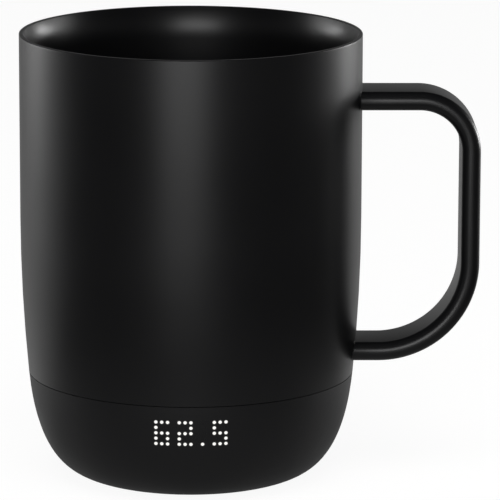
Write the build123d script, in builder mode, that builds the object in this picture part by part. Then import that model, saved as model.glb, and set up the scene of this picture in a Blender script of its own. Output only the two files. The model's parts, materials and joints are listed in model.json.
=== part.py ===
"""A self-heating mug: a steel cup in a steel body, on a moulded base that holds the heater's parts.

Sizes are in millimetres. Z is up, the origin is the middle of the foot, on the surface that the mug
stands on, the handle is on +X and the readout faces -Y.
"""

import os
from math import asin, atan2, cos, degrees, pi, radians, sin, sqrt

from build123d import *

os.makedirs("parts", exist_ok=True)

# Steel body: an outer shell with a cup hung inside it from the rim
height = 118.3
rim_radius = 45.0
draw_in = 1.97
taper_share = 0.462
shell_wall = 0.8
liner_wall = 0.6
wall_space = 1.4
lip_straight = 2.6
lip_edge_share = 0.7
flare_height = 5.9
flare_upper_share = 0.9
floor_corner = 8.0

# Handle: a flat hollow tube with full round edges, bent twice and welded on
handle_reach = 28.5
handle_width = 17.6
handle_thickness = 4.94
handle_edge_share = 0.93
handle_wall = 1.0
handle_top_drop = 17.1
handle_foot_rise = 6.16
handle_top_bend = 13.6
handle_foot_bend = 24.0

# Moulded base: its outline is one curve from the seam to the flat underside
base_wall = 2.0
seam_gap = 0.2
seam_hold_share = 0.525
foot_hold_share = 0.669
outline_halvings = 40
tongue_height = 4.0
tongue_wall = 2.2
tongue_root = 3.0
tongue_gap = 0.2
gasket_width = 1.6
gasket_depth = 0.9
ledge_thickness = 2.0
ledge_rim = 0.4
boss_rise = 2.0
boss_wall = 1.0

# Gaps between pieces that are pressed, glued or welded together, and between pieces that slide
fit_gap = 0.05
slide_gap = 0.1
overrun = 1.0

# Readout: a 13 by 5 matrix of light pins through the base's front wall
dot_pitch = 1.5
dot_diameter = 1.0
dot_gap = 0.02
readout_drop = 7.1
window_depth = 3.6
window_rim = 0.55
pad_rim = 1.0
grid_wall = 0.4
baffle_depth = 3.0
led_size = 0.7
led_height = 0.4
led_board_thickness = 1.0
ear_width = 4.0
ear_height = 5.0
display_screw_radius = 0.7
display_head_radius = 1.3
display_head_height = 0.8
display_boss_radius = 1.6
display_boss_depth = 2.5
flex_width = 6.0
flex_thickness = 0.2
flex_bend = 2.0
flex_reach = 6.13

# Battery: two cells side by side, along X
cell_diameter = 18.3
cell_length = 35.0
cell_spacing = 0.5
cell_slack = 0.1
tray_wall = 1.2
tray_floor = 1.0
tray_corner = 3.0
tray_drop = 3.0
web_width = 4.0
tab_space = 0.6
tab_thickness = 0.3
tab_width = 6.0
cap_wall = 1.2
cap_rise_share = 0.45
cap_gap = 0.3
cap_inset = 2.3
cell_nub = 0.8
cell_nub_radius = 3.5
cell_edge = 0.4
foam_width = 8.0
foam_front_length = 24.0
foam_rear_length = 12.0
foam_rear_shift = 8.0
wire_room = 1.95

# Long screws that clamp the base stack to the mounting plate
screw_radius = 1.25
screw_head_radius = 2.2
screw_head_height = 1.6
column_radius = 3.0
column_sink = 0.6
screw_count = 4
cover_screw_turn = 45
socket_share = 0.55
socket_depth_share = 0.5
hex_sides = 6
nut_flats = 5.0
nut_height = 2.0
screw_show = 0.3
pocket_gap = 0.4
plate_thickness = 0.8
plate_flange = 4.0

# Heater stack between the mounting plate and the cup's floor
insulation_thickness = 3.6
spreader_thickness = 0.4
film_thickness = 0.2
heater_step = 1.0
lead_hole_radius = 2.6
probe_hole_radius = 2.4
probe_radius = 0.8
probe_length = 2.4

# Circuit board and what is on it
board_thickness = 1.0
board_gap = 1.2
parts_room = 2.15
connector_length = 6.4
connector_depth = 4.0
connector_height = 3.4
connector_rim = 0.8
flex_connector_length = 8.0
flex_connector_depth = 3.0
flex_connector_height = 2.0
heater_wire = 1.4
heater_wire_pitch = 2.5
probe_wire = 0.6
probe_wire_pitch = 0.7
battery_wire = 1.5
wire_bend = 3.0
probe_bend = 1.2
lead_jog = 4.0
heater_turn = 135
probe_turn = 45
switch_side = 6.0
switch_height = 1.5
switch_room = 0.1

# Underside
foot_proud = 0.55
cover_inset = 0.15
cover_thickness = 1.7
cover_rim = 0.85
foot_rim = 1.1
foot_width = 4.0
foot_edge = 0.4
groove_floor = 0.9
cover_screw_radius = 0.8
cover_screw_head = 1.65
cover_screw_length = 4.2
button_radius = 3.0
button_flange = 0.6
button_flange_height = 0.6
button_recess = 0.2
button_travel = 0.4
button_dish = 0.3
stem_radius = 1.2
plunger_show = 0.5
plunger_hidden = 0.7
seal_section = 0.4
contact_radius = 2.6
contact_thickness = 0.6
contact_pin_radius = 1.0
contact_pin_show = 0.5
ring_width = 2.6
ring_space = 1.2
leaf_thickness = 0.2
leaf_width = 1.6
leaf_foot = 1.8
leaf_rise = 2.6
leaf_bend = 0.5

# Heights, from the surface that the mug stands on upwards
base_z = foot_proud
cover_z = base_z + cover_inset
ledge_z = cover_z + cover_thickness
ledge_top = ledge_z + ledge_thickness
board_z = ledge_top + boss_rise
board_top = board_z + board_thickness
tray_z = board_top + parts_room
cell_radius = cell_diameter / 2
cradle_radius = cell_radius + cell_slack
cell_z = tray_z + tray_floor + cradle_radius
cap_top = cell_z + cradle_radius + cap_wall
plate_z = cap_top + wire_room
plate_top = plate_z + plate_thickness
insulation_top = plate_top + insulation_thickness
film_top = insulation_top + film_thickness
cup_underside = film_top + spreader_thickness
cup_floor = cup_underside + liner_wall
seam_z = plate_z - slide_gap - tongue_gap - tongue_height
taper_z = seam_z + taper_share * (height - seam_z)
readout_z = seam_z - readout_drop
handle_top_z = height - handle_top_drop
handle_foot_z = seam_z + handle_foot_rise

# Radii and places, from the cells outwards and then back in under them
cell_pitch = cell_diameter + cell_spacing
cell_y = cell_pitch / 2
tray_half_x = cell_length / 2 + tab_space + tray_wall
tray_half_y = cell_y + cradle_radius + tray_wall
screw_circle = max(tray_half_x, tray_half_y) + column_radius - column_sink
boss_radius = screw_head_radius + slide_gap + boss_wall
opening_radius = screw_circle + screw_head_radius + slide_gap + ledge_rim
foot_start = opening_radius + cover_rim
cover_radius = opening_radius - slide_gap
ledge_radius = screw_circle - boss_radius - ledge_rim
foot_outer = cover_radius - foot_rim
foot_inner = foot_outer - foot_width
foot_middle = (foot_outer + foot_inner) / 2
foot_top = ledge_z - groove_floor
flange_radius = button_radius + button_flange
button_y = -(ledge_radius - flange_radius - ledge_rim)
ring_outer = -button_y - flange_radius - ring_space
ring_inner = ring_outer - ring_width
ring_middle = (ring_outer + ring_inner) / 2

# The taper is one arc, tangent to the straight wall above it
taper_drop = taper_z - seam_z
taper_radius = (taper_drop**2 + draw_in**2) / (2 * draw_in)
seam_angle = asin(taper_drop / taper_radius)
seam_radius = rim_radius - draw_in
liner_radius = rim_radius - shell_wall - wall_space - liner_wall


def body_radius(z, inset=0):
    """Outside radius of the steel body at a height, or that of a surface inset from it."""
    if z >= taper_z:
        return rim_radius - inset
    return rim_radius - taper_radius + sqrt((taper_radius - inset) ** 2 - (taper_z - z) ** 2)


def base_points(inset=0):
    """Control points of the base's outline from the seam to the flat underside, or inset from it."""
    drop = seam_z - base_z - inset
    spread = seam_radius - foot_start - inset
    hold = seam_hold_share * drop
    seam = (seam_radius - inset, seam_z)
    return (
        seam,
        (seam[0] - hold * sin(seam_angle), seam_z - hold * cos(seam_angle)),
        (foot_start + foot_hold_share * spread, base_z + inset),
        (foot_start, base_z + inset),
    )


def base_radius(z, inset=0):
    """Radius of the base's outline at a height: the curve falls all the way, so it is halved down to."""
    low, high = 0.0, 1.0
    for _ in range(outline_halvings):
        t = (low + high) / 2
        weights = ((1 - t) ** 3, 3 * (1 - t) ** 2 * t, 3 * (1 - t) * t**2, t**3)
        radius = sum(w * p[0] for w, p in zip(weights, base_points(inset)))
        level = sum(w * p[1] for w, p in zip(weights, base_points(inset)))
        low, high = (t, high) if level > z else (low, t)
    return radius


def taper_arc(foot_z, inset=0):
    """The tapering wall, from where the straight wall ends down to a height."""
    middle_z = (taper_z + foot_z) / 2
    return ThreePointArc(
        (rim_radius - inset, taper_z),
        (body_radius(middle_z, inset), middle_z),
        (body_radius(foot_z, inset), foot_z),
    )


def radial_plane(angle, shift=0):
    """Upright plane through the axis at an angle, or beside it: its x is the radius, its y the height."""
    turn = radians(angle)
    return Plane(
        origin=(-shift * sin(turn), shift * cos(turn), 0),
        x_dir=(cos(turn), sin(turn), 0),
        z_dir=(sin(turn), -cos(turn), 0),
    )


def save(piece, name):
    """Label a finished piece and write it under its own name."""
    piece.part.label = name
    export_step(piece.part, f"parts/{name}.step")


# Filled forms of the body and the base: they trim what ends on those surfaces
with BuildPart() as body_form:
    with BuildSketch(Plane.XZ):
        with BuildLine():
            arc = taper_arc(seam_z, -fit_gap)
            Polyline(arc @ 1, (0, seam_z), (0, height), (rim_radius + fit_gap, height), arc @ 0)
        make_face()
    revolve(axis=Axis.Z)

with BuildPart() as base_form:
    with BuildSketch(Plane.XZ):
        with BuildLine():
            side = Bezier(*base_points())
            Polyline(side @ 1, (0, base_z), (0, seam_z), side @ 0)
        make_face()
    revolve(axis=Axis.Z)


# Outer shell: drawn steel, straight at the top and drawn in a little towards the seam
shell_foot = seam_z + seam_gap
with BuildPart() as outer_shell:
    with BuildSketch(Plane.XZ):
        with BuildLine():
            outside = taper_arc(shell_foot)
            inside = taper_arc(shell_foot, shell_wall)
            Line(outside @ 1, inside @ 1)
            Polyline(inside @ 0, (rim_radius - shell_wall, height), (rim_radius, height), outside @ 0)
        make_face()
    revolve(axis=Axis.Z)
    rim_edges = outer_shell.edges().filter_by(GeomType.CIRCLE).group_by(Axis.Z)[-1]
    fillet(rim_edges.sort_by(SortBy.RADIUS)[-1], lip_edge_share * shell_wall)
save(outer_shell, "outer_shell")


# Inner cup: from the lip a straight collar, an S-shaped flare, the straight bore and the rounded floor
lip_radius = rim_radius - shell_wall - fit_gap
flare_close = lip_radius - liner_wall - liner_radius
flare_angle = 2 * atan2(flare_close, flare_height)
flare_radii = flare_height / sin(flare_angle)
flare_upper = flare_upper_share * flare_radii
flare_lower = flare_radii - flare_upper


def cup_wall(inset):
    """One side of the cup's wall from lip to axis; inset is the liner's wall for its inside, else zero."""
    outward = liner_wall - inset
    collar = Line((lip_radius - inset, height), (lip_radius - inset, height - lip_straight))
    upper = JernArc(collar @ 1, (0, -1), flare_upper + outward, -degrees(flare_angle))
    lower = JernArc(upper @ 1, upper % 1, flare_lower - outward, degrees(flare_angle))
    corner = floor_corner + outward
    floor_z = cup_floor - outward
    bore = Line(lower @ 1, ((lower @ 1).X, floor_z + corner))
    bend = JernArc(bore @ 1, (0, -1), corner, -90)
    Line(bend @ 1, (0, floor_z))


with BuildPart() as inner_liner:
    with BuildSketch(Plane.XZ):
        with BuildLine():
            cup_wall(liner_wall)
            cup_wall(0)
            Line((lip_radius - liner_wall, height), (lip_radius, height))
            Line((0, cup_floor), (0, cup_underside))
        make_face()
    revolve(axis=Axis.Z)
    lip_edges = inner_liner.edges().filter_by(GeomType.CIRCLE).group_by(Axis.Z)[-1]
    fillet(lip_edges.sort_by(SortBy.RADIUS)[0], lip_edge_share * liner_wall)
save(inner_liner, "inner_liner")


# Handle: the tube follows two arms and a grip, and is cut to the body where it is welded on
grip_x = rim_radius + handle_reach
with BuildPart() as handle:
    with BuildLine(Plane.XZ):
        route = FilletPolyline(
            (0, handle_top_z),
            (grip_x, handle_top_z),
            (grip_x, handle_foot_z),
            (0, handle_foot_z),
            radius=[handle_top_bend, handle_foot_bend],
        )
    with BuildSketch(Plane(origin=route @ 0, x_dir=(0, 1, 0), z_dir=route % 0)):
        RectangleRounded(handle_width, handle_thickness, handle_edge_share * handle_thickness / 2)
        Rectangle(
            handle_width - handle_edge_share * handle_thickness,
            handle_thickness - 2 * handle_wall,
            mode=Mode.SUBTRACT,
        )
    sweep(path=route)
    add(body_form.part, mode=Mode.SUBTRACT)
save(handle, "handle")


# Readout: which pins of the matrix are lit, one row of text per row of pins
glyph_rows = {
    "6": ("###", "#..", "###", "#.#", "###"),
    "2": ("###", "..#", "###", "#..", "###"),
    "5": ("###", "#..", "###", "..#", "###"),
    ".": (".", ".", ".", ".", "#"),
}
readout_rows = [".".join(glyph_rows[sign][row] for sign in "62.5") for row in range(5)]
dot_columns = len(readout_rows[0])
dot_rows = len(readout_rows)
dot_places = {"#": [], ".": []}
for row, marks in enumerate(readout_rows):
    for column, mark in enumerate(marks):
        place_x = (column - (dot_columns - 1) / 2) * dot_pitch
        place_z = readout_z - (row - (dot_rows - 1) / 2) * dot_pitch
        dot_places[mark].append((place_x, place_z))

window_y = -(seam_radius - window_depth)
window_width = dot_columns * dot_pitch + 2 * window_rim
window_height = dot_rows * dot_pitch + 2 * window_rim
led_board_y = window_y + slide_gap + baffle_depth
ear_x = (window_width + ear_width) / 2
front_reach = rim_radius + led_board_y + overrun

# Flat pad inside the front wall, and two screw bosses beside it
with BuildPart() as window_pad:
    with BuildSketch(Plane.XZ.offset(-window_y)):
        with Locations((0, readout_z)):
            Rectangle(window_width + 2 * pad_rim, window_height + 2 * pad_rim)
    extrude(amount=front_reach)
    with BuildSketch(Plane.XZ.offset(-led_board_y)):
        with Locations((-ear_x, readout_z), (ear_x, readout_z)):
            Circle(display_boss_radius)
    extrude(amount=front_reach)
    add(base_form.part, mode=Mode.INTERSECT)


# Base shell: moulded cup with a ledge for the cover, a tongue up into the steel body and the window
tongue_radius = body_radius(shell_foot, shell_wall) - tongue_gap
tongue_inner = tongue_radius - tongue_wall
tongue_top = seam_z + tongue_height
root_z = seam_z - tongue_root
root_radius = base_radius(root_z) - base_wall / 2
gasket_z = seam_z + tongue_height / 2
with BuildPart() as base_shell:
    with BuildSketch(Plane.XZ):
        with BuildLine():
            side = Bezier(*base_points())
            Polyline(side @ 1, (0, base_z), (0, seam_z), side @ 0)
        make_face()
    revolve(axis=Axis.Z)
    with BuildSketch(Plane.XZ):
        with BuildLine():
            side = Bezier(*base_points(base_wall))
            Polyline(side @ 1, (0, base_z + base_wall), (0, seam_z), side @ 0)
        make_face()
        with Locations((0, ledge_top)):
            Rectangle(2 * rim_radius, height, align=(Align.CENTER, Align.MAX), mode=Mode.SUBTRACT)
    revolve(axis=Axis.Z, mode=Mode.SUBTRACT)
    with BuildSketch(Plane.XZ):
        with BuildLine():
            Polyline(
                (tongue_radius, tongue_top),
                (tongue_radius, seam_z),
                (root_radius, root_z),
                (tongue_inner, root_z + root_radius - tongue_inner),
                (tongue_inner, tongue_top),
                close=True,
            )
        make_face()
        with Locations((tongue_radius, gasket_z)):
            Rectangle(2 * gasket_depth, gasket_width, mode=Mode.SUBTRACT)
    revolve(axis=Axis.Z)
    add(window_pad.part)
    with BuildSketch(Plane.XZ.offset(-window_y)):
        with Locations((0, readout_z)):
            Rectangle(window_width + 2 * slide_gap, window_height + 2 * slide_gap)
    extrude(amount=-window_depth - baffle_depth, mode=Mode.SUBTRACT)
    with BuildSketch(Plane.XZ.offset(-window_y - overrun)):
        with Locations((0, readout_z)):
            with GridLocations(dot_pitch, dot_pitch, dot_columns, dot_rows):
                Circle(dot_diameter / 2 + dot_gap)
    extrude(amount=front_reach, mode=Mode.SUBTRACT)
    with BuildSketch(Plane.XZ.offset(-led_board_y)):
        with Locations((-ear_x, readout_z), (ear_x, readout_z)):
            Circle(display_screw_radius + fit_gap)
    extrude(amount=display_boss_depth, mode=Mode.SUBTRACT)
    with BuildSketch(Plane.XY.offset(ledge_top)):
        with PolarLocations(screw_circle, screw_count):
            Circle(boss_radius)
    extrude(amount=boss_rise)
    with BuildSketch(Plane.XY.offset(ledge_top)):
        with PolarLocations(foot_middle, screw_count, start_angle=cover_screw_turn):
            Circle(cover_screw_radius + boss_wall)
    extrude(amount=boss_rise - slide_gap)
    with BuildSketch(Plane.XY.offset(base_z - overrun)):
        Circle(opening_radius)
    extrude(amount=overrun + ledge_z - base_z, mode=Mode.SUBTRACT)
    with BuildSketch(Plane.XY.offset(ledge_z - overrun)):
        Circle(ledge_radius)
    extrude(amount=ledge_thickness + 2 * overrun, mode=Mode.SUBTRACT)
    with BuildSketch(Plane.XY.offset(ledge_z - overrun)):
        with PolarLocations(screw_circle, screw_count):
            Circle(screw_head_radius + slide_gap)
    extrude(amount=overrun + ledge_thickness, mode=Mode.SUBTRACT)
    with BuildSketch(Plane.XY.offset(ledge_z - overrun)):
        with PolarLocations(screw_circle, screw_count):
            Circle(screw_radius + slide_gap)
    extrude(amount=overrun + board_z - ledge_z + overrun, mode=Mode.SUBTRACT)
    with BuildSketch(Plane.XY.offset(ledge_z - overrun)):
        with PolarLocations(foot_middle, screw_count, start_angle=cover_screw_turn):
            Circle(cover_screw_radius + fit_gap)
    extrude(amount=overrun + board_z - ledge_z + overrun, mode=Mode.SUBTRACT)
save(base_shell, "base_shell")


def screws(plane, places, radius, length, head_radius, head_height):
    """Socket screws: the heads stand on the plane and the shanks go down behind it."""
    with BuildSketch(plane) as shanks:
        with Locations(*places):
            Circle(radius)
    extrude(shanks.sketch, amount=-length)
    with BuildSketch(plane) as heads:
        with Locations(*places):
            Circle(head_radius)
    extrude(heads.sketch, amount=head_height)
    with BuildSketch(plane.offset(head_height)) as sockets:
        with Locations(*places):
            RegularPolygon(socket_share * head_radius, hex_sides)
    extrude(sockets.sketch, amount=-socket_depth_share * head_height, mode=Mode.SUBTRACT)


# Seam gasket: a square ring in the tongue's groove, up against the steel body
gasket_inner = tongue_radius - gasket_depth + fit_gap
gasket_outer = body_radius(gasket_z - gasket_width / 2, shell_wall) - fit_gap
with BuildPart() as seam_gasket:
    with BuildSketch(Plane.XZ):
        with Locations(((gasket_inner + gasket_outer) / 2, gasket_z)):
            Rectangle(gasket_outer - gasket_inner, gasket_width - 2 * slide_gap)
    revolve(axis=Axis.Z)
save(seam_gasket, "seam_gasket")


# Light pins, flush with the base's outside: those that show the number, and the dark ones
for mark, name in (("#", "dots_lit"), (".", "dots_unlit")):
    with BuildPart() as dots:
        with BuildSketch(Plane.XZ.offset(-window_y)):
            with Locations(*dot_places[mark]):
                Circle(dot_diameter / 2)
        extrude(amount=front_reach)
        add(base_form.part, mode=Mode.INTERSECT)
    save(dots, name)


# Light baffle: a square grid, one cell for each light
with BuildPart() as light_baffle:
    with BuildSketch(Plane.XZ.offset(-led_board_y)):
        with Locations((0, readout_z)):
            Rectangle(window_width, window_height)
            with GridLocations(dot_pitch, dot_pitch, dot_columns, dot_rows):
                Rectangle(dot_pitch - grid_wall, dot_pitch - grid_wall, mode=Mode.SUBTRACT)
    extrude(amount=baffle_depth)
save(light_baffle, "light_baffle")


# Light board behind it, with its chips in the grid's cells and two screws into the base
with BuildPart() as led_board:
    with BuildSketch(Plane.XZ.offset(-led_board_y)):
        with Locations((0, readout_z)):
            Rectangle(window_width, window_height)
            Rectangle(window_width + 2 * ear_width, ear_height)
        with Locations((-ear_x, readout_z), (ear_x, readout_z)):
            Circle(display_screw_radius + slide_gap, mode=Mode.SUBTRACT)
    extrude(amount=-led_board_thickness)
save(led_board, "led_board")

with BuildPart() as led_chips:
    with BuildSketch(Plane.XZ.offset(-led_board_y)):
        with Locations((0, readout_z)):
            with GridLocations(dot_pitch, dot_pitch, dot_columns, dot_rows):
                Rectangle(led_size, led_size)
    extrude(amount=led_height)
save(led_chips, "led_chips")

led_back_y = led_board_y + led_board_thickness
back_plane = Plane(origin=(0, led_back_y, readout_z), x_dir=(-1, 0, 0), z_dir=(0, 1, 0))
with BuildPart() as display_screws:
    screws(
        back_plane,
        [(-ear_x, 0), (ear_x, 0)],
        display_screw_radius,
        led_board_thickness + display_boss_depth - slide_gap,
        display_head_radius,
        display_head_height,
    )
save(display_screws, "display_screws")


# Mounting plate: a dish welded inside the steel body, with four nuts on it for the long screws
plate_radius = body_radius(plate_z, shell_wall) - fit_gap
board_radius = base_radius(board_z, base_wall) - board_gap
wire_circle = board_radius - connector_depth / 2 - connector_rim
lead_circle = wire_circle - lead_jog
with BuildPart() as mounting_plate:
    with BuildSketch(Plane.XZ):
        with BuildLine():
            Polyline(
                (0, plate_z),
                (plate_radius, plate_z),
                (plate_radius, plate_z + plate_flange),
                (plate_radius - plate_thickness, plate_z + plate_flange),
                (plate_radius - plate_thickness, plate_top),
                (0, plate_top),
                close=True,
            )
        make_face()
    revolve(axis=Axis.Z)
    with BuildSketch(Plane.XY.offset(plate_z)):
        Circle(probe_hole_radius)
        with PolarLocations(screw_circle, screw_count):
            Circle(screw_radius + slide_gap)
        with PolarLocations(lead_circle, 1, start_angle=heater_turn):
            Circle(lead_hole_radius)
    extrude(amount=plate_thickness, mode=Mode.SUBTRACT)
save(mounting_plate, "mounting_plate")

with BuildPart() as plate_nuts:
    with BuildSketch(Plane.XY.offset(plate_top)):
        with PolarLocations(screw_circle, screw_count):
            RegularPolygon(nut_flats / 2, hex_sides, major_radius=False)
            Circle(screw_radius + fit_gap, mode=Mode.SUBTRACT)
    extrude(amount=nut_height)
save(plate_nuts, "plate_nuts")


# Heater stack, from the plate up to the cup's floor
floor_radius = liner_radius - floor_corner
nut_corner = nut_flats / 2 / cos(pi / hex_sides)
with BuildPart() as insulation_disc:
    with BuildSketch(Plane.XY.offset(plate_top)):
        Circle(floor_radius)
        Circle(probe_hole_radius, mode=Mode.SUBTRACT)
        with PolarLocations(lead_circle, 1, start_angle=heater_turn):
            Circle(lead_hole_radius, mode=Mode.SUBTRACT)
    extrude(amount=insulation_thickness)
    with BuildSketch(Plane.XY.offset(plate_top)):
        with PolarLocations(screw_circle, screw_count):
            Circle(nut_corner + pocket_gap)
    extrude(amount=nut_height + screw_show + pocket_gap, mode=Mode.SUBTRACT)
save(insulation_disc, "insulation_disc")

with BuildPart() as heater_film:
    with BuildSketch(Plane.XY.offset(insulation_top)):
        Circle(floor_radius - 2 * heater_step)
        Circle(probe_radius + pocket_gap, mode=Mode.SUBTRACT)
    extrude(amount=film_thickness)
save(heater_film, "heater_film")

with BuildPart() as heat_spreader:
    with BuildSketch(Plane.XY.offset(film_top)):
        Circle(floor_radius - heater_step)
    extrude(amount=spreader_thickness)
save(heat_spreader, "heat_spreader")

with BuildPart() as thermistor:
    with BuildSketch(Plane.XY.offset(film_top - probe_length)):
        Circle(probe_radius)
    extrude(amount=probe_length)
save(thermistor, "thermistor")


# Wires, held all the way: straight runs joined by arcs
connector_top = board_top + connector_height


def wire(plane, points, bends, radius):
    """One round wire along a bent route in a plane."""
    with BuildLine(plane):
        route = FilletPolyline(*points, radius=bends)
    with BuildSketch(Plane(origin=route @ 0, z_dir=route % 0)) as section:
        Circle(radius)
    sweep(section.sketch, path=route)


with BuildPart() as heater_leads:
    knee_z = plate_z - wire_room
    for side in (-1, 1):
        wire(
            radial_plane(heater_turn, side * heater_wire_pitch / 2),
            [
                (lead_circle, insulation_top),
                (lead_circle, knee_z),
                (wire_circle, knee_z - lead_jog),
                (wire_circle, connector_top),
            ],
            [wire_bend, wire_bend],
            heater_wire / 2,
        )
save(heater_leads, "heater_leads")

with BuildPart() as thermistor_leads:
    for side in (-1, 1):
        wire(
            radial_plane(probe_turn, side * probe_wire_pitch / 2),
            [
                (0, film_top - probe_length),
                (0, plate_z - wire_room / 2),
                (wire_circle, plate_z - wire_room / 2),
                (wire_circle, connector_top),
            ],
            [probe_bend, wire_bend],
            probe_wire / 2,
        )
save(thermistor_leads, "thermistor_leads")

tab_x = cell_length / 2
with BuildPart() as battery_leads:
    for side in (-1, 1):
        wire(
            Plane.XZ.offset(side * cell_y),
            [
                (-tab_x - tab_thickness, cell_z),
                (-lead_circle, cell_z),
                (-lead_circle, connector_top),
            ],
            [wire_bend],
            battery_wire / 2,
        )
save(battery_leads, "battery_leads")


# Battery: a tray with four columns, two cells, their strips, a cap and the foam above it
cradle_length = cell_length + 2 * tab_space
tray_rim_z = cell_z - tray_drop
with BuildPart() as battery_tray:
    with BuildSketch(Plane.XY.offset(tray_z)):
        RectangleRounded(2 * tray_half_x, 2 * tray_half_y, tray_corner)
        Rectangle(2 * screw_circle, web_width)
        Rectangle(web_width, 2 * screw_circle)
    extrude(amount=tray_rim_z - tray_z)
    with BuildSketch(Plane.YZ.offset(-cradle_length / 2)):
        with Locations((-cell_y, cell_z), (cell_y, cell_z)):
            Circle(cradle_radius)
    extrude(amount=cradle_length, mode=Mode.SUBTRACT)
    with BuildSketch(Plane.XY.offset(board_top)):
        with PolarLocations(screw_circle, screw_count):
            Circle(column_radius)
    extrude(amount=plate_z - board_top)
    with BuildSketch(Plane.XY.offset(board_top)):
        with PolarLocations(screw_circle, screw_count):
            Circle(screw_radius + slide_gap)
    extrude(amount=plate_z - board_top, mode=Mode.SUBTRACT)
save(battery_tray, "battery_tray")

for side, name in ((-1, "cell_front"), (1, "cell_rear")):
    with BuildPart() as cell:
        with BuildSketch(Plane.YZ.offset(side * tab_x)):
            with Locations((side * cell_y, cell_z)):
                Circle(cell_radius)
        extrude(amount=-side * (cell_length - cell_nub))
        fillet(cell.edges().filter_by(GeomType.CIRCLE), cell_edge)
        with BuildSketch(Plane.YZ.offset(-side * tab_x)):
            with Locations((side * cell_y, cell_z)):
                Circle(cell_nub_radius)
        extrude(amount=side * cell_nub)
    save(cell, name)

with BuildPart() as cell_links:
    with BuildSketch(Plane.YZ.offset(tab_x)):
        with Locations((0, cell_z)):
            Rectangle(cell_pitch + tab_width, tab_width)
    extrude(amount=tab_thickness)
    with BuildSketch(Plane.YZ.offset(-tab_x)):
        with Locations((-cell_y, cell_z), (cell_y, cell_z)):
            Rectangle(tab_width, tab_width)
    extrude(amount=-tab_thickness)
save(cell_links, "cell_links")

cap_half = screw_circle - column_radius
with BuildPart() as battery_cap:
    with BuildSketch(Plane.XY.offset(cell_z + cap_rise_share * cradle_radius)):
        RectangleRounded(2 * (cap_half - cap_inset), 2 * (cap_half - cap_gap), tray_corner)
    extrude(amount=cap_top - cell_z - cap_rise_share * cradle_radius)
    with BuildSketch(Plane.YZ.offset(-cradle_length / 2)):
        with Locations((-cell_y, cell_z), (cell_y, cell_z)):
            Circle(cradle_radius)
    extrude(amount=cradle_length, mode=Mode.SUBTRACT)
save(battery_cap, "battery_cap")

with BuildPart() as battery_pads:
    with BuildSketch(Plane.XY.offset(cap_top)):
        with Locations((0, -cell_y)):
            Rectangle(foam_front_length, foam_width)
        with Locations((-foam_rear_shift, cell_y)):
            Rectangle(foam_rear_length, foam_width)
    extrude(amount=wire_room)
save(battery_pads, "battery_pads")


# Main board and what is soldered on it; places and sizes are shares of its radius and of its headroom
part_shares = (
    (0.12, 0.20, 0.21, 0.21, 0.42),
    (-0.27, 0.13, 0.19, 0.19, 0.85),
    (0.33, -0.20, 0.15, 0.15, 0.40),
    (-0.10, -0.30, 0.15, 0.12, 0.46),
    (-0.34, -0.28, 0.15, 0.12, 0.46),
    (0.36, 0.10, 0.06, 0.10, 0.55),
    (0.36, 0.26, 0.06, 0.10, 0.55),
    (0.10, -0.12, 0.10, 0.05, 0.30),
    (0.10, -0.22, 0.10, 0.05, 0.30),
    (-0.10, 0.38, 0.10, 0.06, 0.30),
)
with BuildPart() as main_board:
    with BuildSketch(Plane.XY.offset(board_z)):
        Circle(board_radius)
        with PolarLocations(screw_circle, screw_count):
            Circle(screw_radius + slide_gap, mode=Mode.SUBTRACT)
    extrude(amount=board_thickness)
save(main_board, "main_board")

with BuildPart() as board_parts:
    for x_share, y_share, width_share, depth_share, rise_share in part_shares:
        with BuildSketch(Plane.XY.offset(board_top)):
            with Locations((x_share * board_radius, y_share * board_radius)):
                Rectangle(width_share * board_radius, depth_share * board_radius)
        extrude(amount=rise_share * parts_room)
save(board_parts, "board_parts")

flex_connector_y = led_back_y + flex_reach
with BuildPart() as board_connectors:
    for turn in (heater_turn, probe_turn):
        with BuildSketch(Plane.XY.offset(board_top)):
            with PolarLocations(wire_circle, 1, start_angle=turn):
                Rectangle(connector_depth, connector_length)
        extrude(amount=connector_height)
    with BuildSketch(Plane.XY.offset(board_top)):
        with Locations((-lead_circle, -cell_y), (-lead_circle, cell_y)):
            Rectangle(connector_depth, connector_length)
    extrude(amount=connector_height)
    with BuildSketch(Plane.XY.offset(board_top)):
        with Locations((0, flex_connector_y)):
            Rectangle(flex_connector_length, flex_connector_depth)
    extrude(amount=flex_connector_height)
save(board_connectors, "board_connectors")


# Flat cable from the back of the light board down and in to its connector
flex_z = board_top + flex_connector_height / 2
flex_y = led_back_y + flex_thickness / 2
with BuildPart() as display_flex:
    with BuildSketch(Plane.YZ.offset(-flex_width / 2)):
        with BuildLine(mode=Mode.PRIVATE):
            route = FilletPolyline(
                (flex_y, readout_z),
                (flex_y, (readout_z + flex_z) / 2),
                (flex_connector_y - flex_connector_depth / 2 - flex_bend, flex_z),
                (flex_connector_y - flex_connector_depth / 2, flex_z),
                radius=[flex_bend, flex_bend],
            )
        trace(route, line_width=flex_thickness)
    extrude(amount=flex_width)
save(display_flex, "display_flex")


# Long screws, from the base's counterbores up through the stack into the nuts
under_plane = Plane(origin=(0, 0, ledge_top), x_dir=(1, 0, 0), z_dir=(0, 0, -1))
corner_turns = [2 * pi * corner / screw_count for corner in range(screw_count)]
corner_places = [(screw_circle * cos(turn), screw_circle * sin(turn)) for turn in corner_turns]
with BuildPart() as chassis_screws:
    screws(
        under_plane,
        corner_places,
        screw_radius,
        plate_top + nut_height + screw_show - ledge_top,
        screw_head_radius,
        screw_head_height,
    )
save(chassis_screws, "chassis_screws")


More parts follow.
